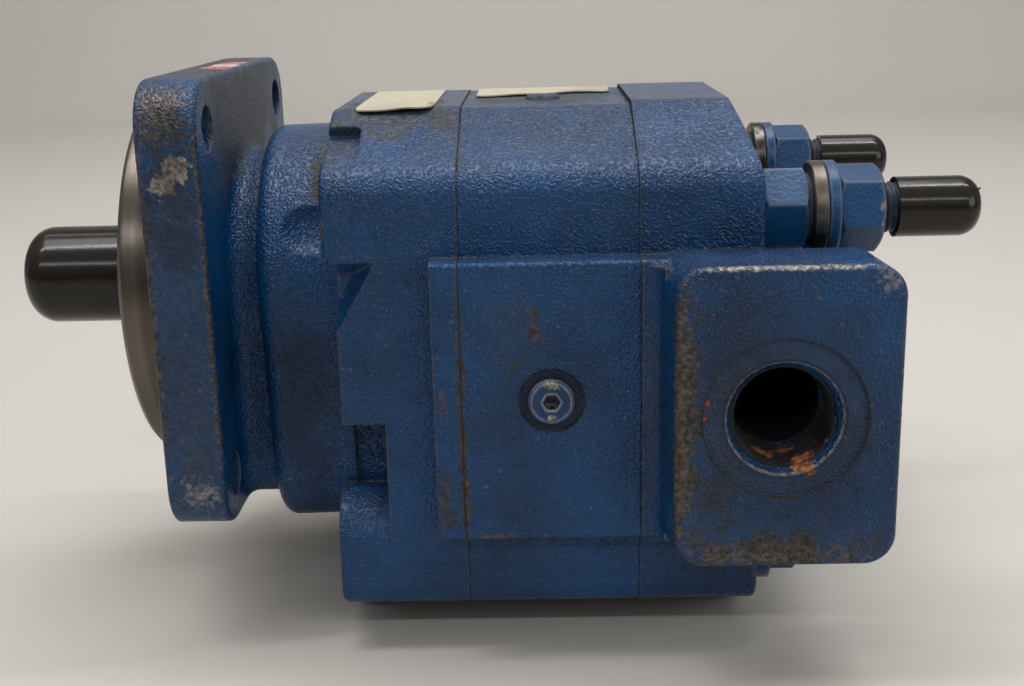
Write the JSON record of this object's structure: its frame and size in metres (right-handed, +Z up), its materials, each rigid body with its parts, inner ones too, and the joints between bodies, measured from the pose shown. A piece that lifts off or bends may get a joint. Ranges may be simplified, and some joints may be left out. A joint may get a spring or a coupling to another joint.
{
  "type": "hydraulic gear pump",
  "caption": "Three-section cast-iron external gear pump with a four-bolt mounting flange, splined shaft under a cap, and threaded ports in a block on each side.",
  "frame": {"origin": "where the drive shaft axis meets the mounting face of the flange", "axes": "+X along the drive shaft from the mounting face towards the port cover, +Z up from the driven gear to the drive gear, -Y towards the side with the gauge port"},
  "size_m": [0.3222, 0.204, 0.1873],
  "materials": {
    "painted_casting": "gloss paint over rough casting",
    "painted_fastener": "gloss paint",
    "bare_steel": "plain",
    "gear_steel": "ground",
    "bearing_bronze": "machined",
    "black_cap": "gloss",
    "seal_rubber": "matte",
    "white_label": "matte film"
  },
  "bodies": {
    "pump_body": {"shaft_end_cover": "painted_casting", "gear_housing": "painted_casting", "port_end_cover": "painted_casting", "drive_front_bushing": "bearing_bronze", "driven_front_bushing": "bearing_bronze", "drive_rear_bushing": "bearing_bronze", "driven_rear_bushing": "bearing_bronze", "front_thrust_plate": "bearing_bronze", "rear_thrust_plate": "bearing_bronze", "front_section_seal": "seal_rubber", "rear_section_seal": "seal_rubber", "shaft_lip_seal": "seal_rubber", "seal_snap_ring": "bare_steel", "upper_studs": "bare_steel", "clamp_nuts": "painted_fastener", "spacer_rings": "bare_steel", "flat_washers": "painted_fastener", "bracket_nuts": "painted_fastener", "bolt_washers": "painted_fastener", "lower_bolts": "painted_fastener", "dowel_pins": "bare_steel", "gauge_port_plug": "painted_fastener", "gauge_plug_o_ring": "seal_rubber", "cover_label": "white_label", "housing_label": "white_label"},
    "drive_shaft": {"drive_gear_shaft": "gear_steel"},
    "driven_shaft": {"driven_gear_shaft": "gear_steel"},
    "shaft_cap": {"shaft_cap": "black_cap"},
    "near_stud_cap": {"near_stud_cap": "black_cap"},
    "far_stud_cap": {"far_stud_cap": "black_cap"}
  },
  "joints": [
    {"name": "drive_shaft_turn", "type": "hinge", "parent": "pump_body", "child": "drive_shaft", "pos_m": [0, 0, 0], "axis": [1, 0, 0], "continuous": true},
    {"name": "driven_shaft_turn", "type": "hinge", "parent": "pump_body", "child": "driven_shaft", "pos_m": [0, 0, -0.0508], "axis": [1, 0, 0], "continuous": true},
    {"name": "shaft_cap_pull", "type": "slide", "parent": "drive_shaft", "child": "shaft_cap", "axis": [-1, 0, 0], "range_m": [0, 0.055]},
    {"name": "near_stud_cap_pull", "type": "slide", "parent": "pump_body", "child": "near_stud_cap", "axis": [1, 0, 0], "range_m": [0, 0.03]},
    {"name": "far_stud_cap_pull", "type": "slide", "parent": "pump_body", "child": "far_stud_cap", "axis": [1, 0, 0], "range_m": [0, 0.03]}
  ],
  "couplings": [
    {"joint": "driven_shaft_turn", "follows": "drive_shaft_turn", "ratio": -1}
  ]
}
